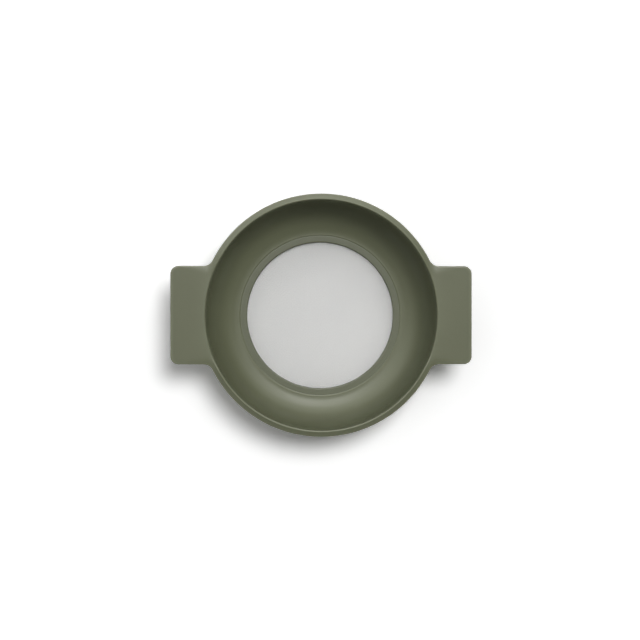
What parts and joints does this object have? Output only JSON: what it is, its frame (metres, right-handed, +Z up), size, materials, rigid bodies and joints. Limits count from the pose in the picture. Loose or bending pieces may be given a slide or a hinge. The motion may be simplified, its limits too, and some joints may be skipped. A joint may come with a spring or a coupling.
{
  "type": "sieve",
  "caption": "Shallow moulded plastic sieve bowl with a sloping lip, a flat tab handle on each side and a round woven steel gauze clamped in its floor by snap-in rings.",
  "frame": {"origin": "on the bowl's axis, on the surface that the foot stands on", "axes": "+X along the handles, +Z up out of the bowl's mouth"},
  "size_m": [0.3, 0.2422, 0.0599],
  "materials": {
    "bowl_plastic": "satin olive, finely textured",
    "clamp_ring_plastic": "satin olive",
    "gauze_steel": "bright stainless wire cloth",
    "retaining_ring_plastic": "satin olive"
  },
  "bodies": {
    "root": {"bowl": "bowl_plastic", "clamp_ring": "clamp_ring_plastic", "strainer_gauze": "gauze_steel", "retaining_ring": "retaining_ring_plastic"}
  },
  "joints": []
}
